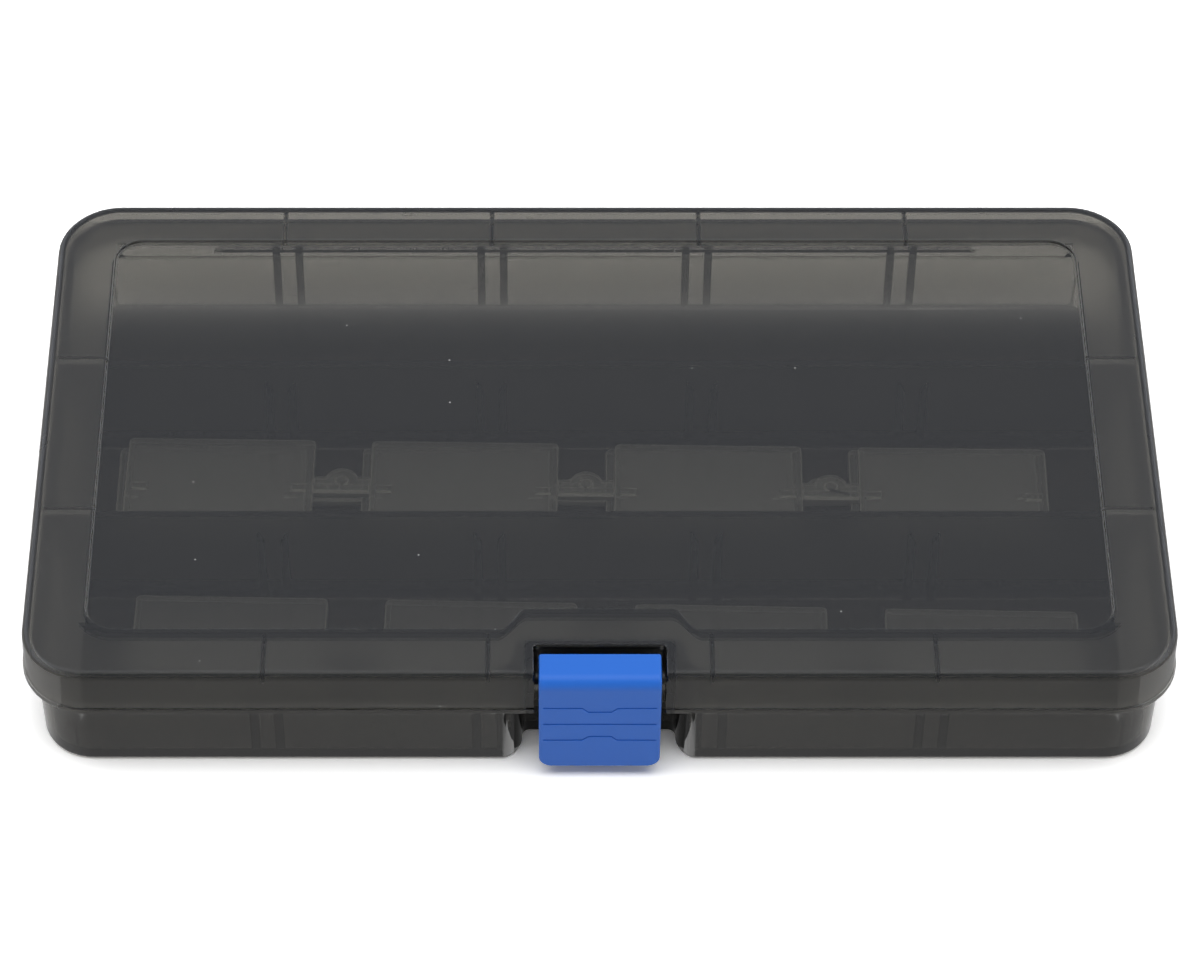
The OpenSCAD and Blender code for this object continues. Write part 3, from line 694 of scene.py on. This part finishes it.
def soften(mesh, radius, wanted=None, angle=SHARP_ANGLE):
    """Rounds every edge sharper than the angle, or those of them whose middle is wanted."""
    sharp = [e for e in mesh.edges if e.is_manifold and e.calc_face_angle() > angle]
    if wanted:
        sharp = [e for e in sharp if wanted((e.verts[0].co + e.verts[1].co) / 2)]
    bmesh.ops.bevel(
        mesh, geom=sharp, offset=radius, offset_type="OFFSET", segments=BEVEL_SEGMENTS, profile=0.5,
        affect="EDGES", clamp_overlap=False, material=-1)


def make_piece(name, mesh, material):
    """Turns a bmesh into a smooth-shaded object at the origin."""
    data = bpy.data.meshes.new(name)
    mesh.to_mesh(data)
    mesh.free()
    data.shade_smooth()
    data.set_sharp_from_angle(angle=CORNER_ANGLE)
    data.materials.append(material)
    piece = bpy.data.objects.new(name, data)
    bpy.context.scene.collection.objects.link(piece)
    even = piece.modifiers.new("even_normals", "WEIGHTED_NORMAL")
    even.keep_sharp = True
    return piece


def stand_for(piece, node, body):
    """The piece moves with a body and is shown in place of a node."""
    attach(piece, body)
    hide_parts(node)


class PARTSBOX_OT_tray(bpy.types.Operator):
    """Make the smoke plastic tray"""

    bl_idname = "parts_box.tray"
    bl_label = "Tray"

    def execute(self, context):
        settings = context.scene.parts_box
        mesh = moulding("base_tray")
        soften(mesh, settings.edges.tray, self.is_plain)
        piece = make_piece("tray_shell", mesh, tray_plastic(settings.finishes))
        stand_for(piece, "base_tray", "base")
        return {"FINISHED"}

    def is_plain(self, spot):
        """Whether a spot is off the foot, the bead and the pocket's mouth, which are round already."""
        at_mouth = MOUTH_INNER < abs(spot.x) < MOUTH_OUTER and spot.y < MOUTH_BACK
        at_bead = BEAD_LOW < spot.z < BEAD_HIGH
        return spot.z > FOOT_ROUND and not at_bead and not at_mouth


class PARTSBOX_OT_lid(bpy.types.Operator):
    """Make the smoke plastic lid"""

    bl_idname = "parts_box.lid"
    bl_label = "Lid"

    def execute(self, context):
        settings = context.scene.parts_box
        mesh = moulding("lid")
        soften(mesh, settings.edges.lid, lambda spot: spot.z > WINDOW_UNDER - EDGE_REACH)
        soften(mesh, settings.edges.hem, lambda spot: spot.z < HEM_TOP + EDGE_REACH, CORNER_ANGLE)
        piece = make_piece("lid_shell", mesh, lid_plastic(settings.finishes))
        stand_for(piece, "lid", "lid")
        return {"FINISHED"}


class PARTSBOX_OT_hinge(bpy.types.Operator):
    """Make the hinge web that joins tray and lid"""

    bl_idname = "parts_box.hinge"
    bl_label = "Hinge Web"

    def execute(self, context):
        mesh = moulding("hinge_web")
        piece = make_piece("hinge_strip", mesh, bpy.data.materials["smoke_tray"])
        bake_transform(piece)
        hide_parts("hinge_web")
        return {"FINISHED"}


class PARTSBOX_OT_latch(bpy.types.Operator):
    """Make the blue latch"""

    bl_idname = "parts_box.latch"
    bl_label = "Latch"

    def execute(self, context):
        settings = context.scene.parts_box
        mesh = moulding("latch")
        soften(mesh, settings.edges.latch, self.is_plain)
        soften(mesh, settings.edges.grip, self.in_grip, CORNER_ANGLE)
        piece = make_piece("latch_lever", mesh, blue_plastic(settings.finishes))
        stand_for(piece, "latch", "latch")
        return {"FINISHED"}

    def is_plain(self, spot):
        """Whether a spot is off the grip and the sockets."""
        return not self.in_grip(spot) and not self.in_socket(spot)

    def in_grip(self, spot):
        """Whether a spot is on the grooved front, away from the latch's own edges."""
        beside = LATCH_LOW.x + GRIP_INSET < spot.x < LATCH_HIGH.x - GRIP_INSET
        return beside and spot.y < LATCH_LOW.y + GRIP_INSET and spot.z > LATCH_LOW.z + GRIP_INSET

    def in_socket(self, spot):
        """Whether a spot is at one of the sockets that turn on the lid's pins."""
        return (spot - LATCH_PIVOT).yz.length < SOCKET_REACH


class PARTSBOX_OT_dividers(bpy.types.Operator):
    """Make the dividers and the runner links that still join them"""

    bl_idname = "parts_box.dividers"
    bl_label = "Dividers"

    def execute(self, context):
        settings = context.scene.parts_box
        faces = clear_plastic(settings.finishes, "divider_clear", PLATE_GLOSS, PLATE_CLEAR, PLATE_PASS)
        cuts = clear_plastic(settings.finishes, "divider_edge", CUT_GLOSS, CUT_CLEAR, CUT_PASS)
        for node in sorted(frame["nodes"]):
            tree = node.split("_")[0]
            if tree not in TREES:
                continue
            mesh = moulding(node)
            soften(mesh, settings.edges.divider)
            middle = sum((v.co for v in mesh.verts), Vector()) / len(mesh.verts)
            for face in mesh.faces:
                outward = face.normal.xy.dot((face.calc_center_median() - middle).xy) > 0
                face.material_index = int(outward and abs(face.normal.z) < FLAT_FACE)
            piece = make_piece(node.replace("divider", "plate").replace("runner", "link"), mesh, faces)
            piece.data.materials.append(cuts)
            stand_for(piece, node, tree + "_set")
        return {"FINISHED"}


class PARTSBOX_OT_stage(bpy.types.Operator):
    """Set up the camera, the light and the white floor"""

    bl_idname = "parts_box.stage"
    bl_label = "Stage"

    def execute(self, context):
        stage = context.scene.parts_box.stage
        self.add_camera(context.scene, stage)
        self.add_world(context.scene, stage)
        self.add_softbox(context.scene, stage)
        self.add_floor(context.scene, stage)
        context.scene.view_settings.view_transform = "Standard"
        context.scene.cycles.max_bounces = LIGHT_BOUNCES
        context.scene.cycles.transmission_bounces = LIGHT_BOUNCES
        context.scene.cycles.transparent_max_bounces = LIGHT_BOUNCES
        return {"FINISHED"}

    def add_camera(self, scene, stage):
        """Stands the camera where the photo was taken from."""
        data = bpy.data.cameras.new("camera")
        data.sensor_width = SENSOR_WIDTH
        data.lens = stage.focal_pixels / PHOTO_WIDTH * SENSOR_WIDTH
        data.shift_x = 0.5 - stage.centre_pixel / PHOTO_WIDTH
        data.clip_start = CAMERA_NEAR
        data.clip_end = CAMERA_FAR
        camera = bpy.data.objects.new("camera", data)
        camera.location = stage.camera_place
        camera.rotation_euler = (stage.camera_tilt, 0, 0)
        scene.collection.objects.link(camera)
        scene.camera = camera

    def add_world(self, scene, stage):
        """Lights the box from all round, with white for the camera and a shaded sky in glossy surfaces."""
        world = bpy.data.worlds.new("studio")
        world.use_nodes = True
        tree = world.node_tree
        tree.nodes.clear()
        path = add_node(tree, "ShaderNodeLightPath", -600, 200)
        any_view = math_node(
            tree, "MAXIMUM", -400, 200, path.outputs["Is Camera Ray"], path.outputs["Is Transmission Ray"])
        light = add_node(tree, "ShaderNodeBackground", -200, 0, Color=(1, 1, 1, 1), Strength=stage.sky)
        shown = add_node(tree, "ShaderNodeBackground", -200, -150, Color=(1, 1, 1, 1), Strength=1.0)
        mirrored = add_node(tree, "ShaderNodeBackground", -200, -300, Color=(*stage.mirrored_sky, 1))
        link(tree, self.sky_shade(tree, stage), mirrored.inputs["Strength"])
        mix = add_node(tree, "ShaderNodeMixShader", 50, 0)
        mirror_mix = add_node(tree, "ShaderNodeMixShader", 250, 0)
        output = add_node(tree, "ShaderNodeOutputWorld", 450, 0)
        link(tree, any_view, mix.inputs["Fac"])
        link(tree, light.outputs["Background"], mix.inputs[1])
        link(tree, shown.outputs["Background"], mix.inputs[2])
        link(tree, path.outputs["Is Glossy Ray"], mirror_mix.inputs["Fac"])
        link(tree, mix.outputs["Shader"], mirror_mix.inputs[1])
        link(tree, mirrored.outputs["Background"], mirror_mix.inputs[2])
        link(tree, mirror_mix.outputs["Shader"], output.inputs["Surface"])
        scene.world = world

    def sky_shade(self, tree, stage):
        """Strength of the mirrored sky: dim on the camera's side, brighter above, left and right."""
        place = add_node(tree, "ShaderNodeTexCoord", -1100, -300)
        split = add_node(tree, "ShaderNodeSeparateXYZ", -900, -300)
        link(tree, place.outputs["Generated"], split.inputs["Vector"])
        aside = math_node(tree, "ABSOLUTE", -850, -700, split.outputs["X"])
        far = self.graded(tree, split.outputs["Y"], NEAR_SIDE_RANGE, stage.near_side, 1.0, -200)
        high = self.graded(tree, split.outputs["Z"], ZENITH_RANGE, 1.0, stage.zenith, -450)
        beside = self.graded(tree, aside, SIDES_RANGE, 1.0, stage.sides, -700)
        level = math_node(tree, "MULTIPLY", -500, -300, far, high)
        return math_node(tree, "MULTIPLY", -350, -300, level, beside)

    def graded(self, tree, value, span, low, high, y):
        """Goes from one level to another over a span of a value."""
        made = add_node(
            tree, "ShaderNodeMapRange", -700, y, From_Min=span[0], From_Max=span[1], To_Min=low, To_Max=high)
        link(tree, value, made.inputs["Value"])
        return made.outputs["Result"]

    def add_softbox(self, scene, stage):
        """Hangs one wide lamp overhead, which glossy surfaces don't mirror."""
        data = bpy.data.lights.new("softbox", "AREA")
        data.shape = "RECTANGLE"
        data.size = SOFTBOX_WIDE
        data.size_y = SOFTBOX_DEEP
        data.energy = stage.softbox
        lamp = bpy.data.objects.new("softbox", data)
        lamp.location = SOFTBOX_PLACE
        lamp.visible_glossy = False
        scene.collection.objects.link(lamp)

    def add_floor(self, scene, stage):
        """Lays the white floor just below the box."""
        mesh = bmesh.new()
        bmesh.ops.create_grid(mesh, x_segments=1, y_segments=1, size=FLOOR_HALF)
        bmesh.ops.translate(mesh, verts=mesh.verts[:], vec=(0, 0, -FLOOR_DROP))
        data = bpy.data.meshes.new("floor")
        mesh.to_mesh(data)
        mesh.free()
        floor = bpy.data.objects.new("floor", data)
        data.materials.append(self.floor_card(stage))
        scene.collection.objects.link(floor)

    def floor_card(self, stage):
        """The floor's material, with its own brightness for the camera, in gloss and through plastic."""
        material, tree, output = new_material("floor_card")
        path = add_node(tree, "ShaderNodeLightPath", -200, 250)
        plain, shown, through = (
            add_node(tree, "ShaderNodeBsdfDiffuse", -200, -200 * row, Color=(grey, grey, grey, 1))
            for row, grey in enumerate((FLOOR_GREY, stage.floor_white, stage.floor_through)))
        mirrored = add_node(tree, "ShaderNodeEmission", -200, -600, Color=(1, 1, 1, 1))
        link(tree, self.floor_shade(tree, stage), mirrored.inputs["Strength"])
        seen_by = (
            ("Is Camera Ray", shown.outputs["BSDF"]),
            ("Is Glossy Ray", mirrored.outputs["Emission"]),
            ("Is Transmission Ray", through.outputs["BSDF"]),
        )
        look = plain.outputs["BSDF"]
        for column, (ray, shader) in enumerate(seen_by):
            mix = add_node(tree, "ShaderNodeMixShader", 200 * column + 200, 0)
            link(tree, path.outputs[ray], mix.inputs["Fac"])
            link(tree, look, mix.inputs[1])
            link(tree, shader, mix.inputs[2])
            look = mix.outputs["Shader"]
        link(tree, look, output.inputs["Surface"])
        return material

    def floor_shade(self, tree, stage):
        """How bright the floor looks in glossy surfaces: dim under the latch."""
        axes = object_axes(tree, -2000, -600)
        under_latch = block_mask(
            tree, axes, (-LATCH_SHADE_HALF, LATCH_SHADE_FRONT, CAD_LOW.z - EDGE_ZONE),
            (LATCH_SHADE_HALF, 0, CAD_HIGH.z), -1700, -1200)
        return self.graded(tree, under_latch, (0.0, 1.0), stage.floor_mirrored, stage.floor_shaded, -600)


OPERATORS = (
    PARTSBOX_OT_tray,
    PARTSBOX_OT_lid,
    PARTSBOX_OT_hinge,
    PARTSBOX_OT_latch,
    PARTSBOX_OT_dividers,
    PARTSBOX_OT_stage,
)


class PARTSBOX_PT_sidebar(bpy.types.Panel):
    """Lists the box's settings and makes its pieces"""

    bl_label = "Parts Box"
    bl_idname = "PARTSBOX_PT_sidebar"
    bl_space_type = "VIEW_3D"
    bl_region_type = "UI"
    bl_category = "Parts Box"

    def draw(self, context):
        settings = context.scene.parts_box
        for group in (settings.edges, settings.finishes, settings.stage):
            box = self.layout.box()
            for name in group.__annotations__:
                box.prop(group, name)
        for operator in OPERATORS:
            self.layout.operator(operator.bl_idname)


CLASSES = (BoxEdges, BoxFinishes, BoxStage, BoxSettings, *OPERATORS, PARTSBOX_PT_sidebar)


def register():
    """Adds the settings, the operators and the panel to Blender."""
    for each in CLASSES:
        bpy.utils.register_class(each)
    bpy.types.Scene.parts_box = PointerProperty(type=BoxSettings)


def unregister():
    """Takes them away again."""
    del bpy.types.Scene.parts_box
    for each in reversed(CLASSES):
        bpy.utils.unregister_class(each)


def main():
    """Makes every piece and the stage."""
    register()
    for operator in OPERATORS:
        group, name = operator.bl_idname.split(".")
        getattr(getattr(bpy.ops, group), name)()


if __name__ == "__main__":
    main()
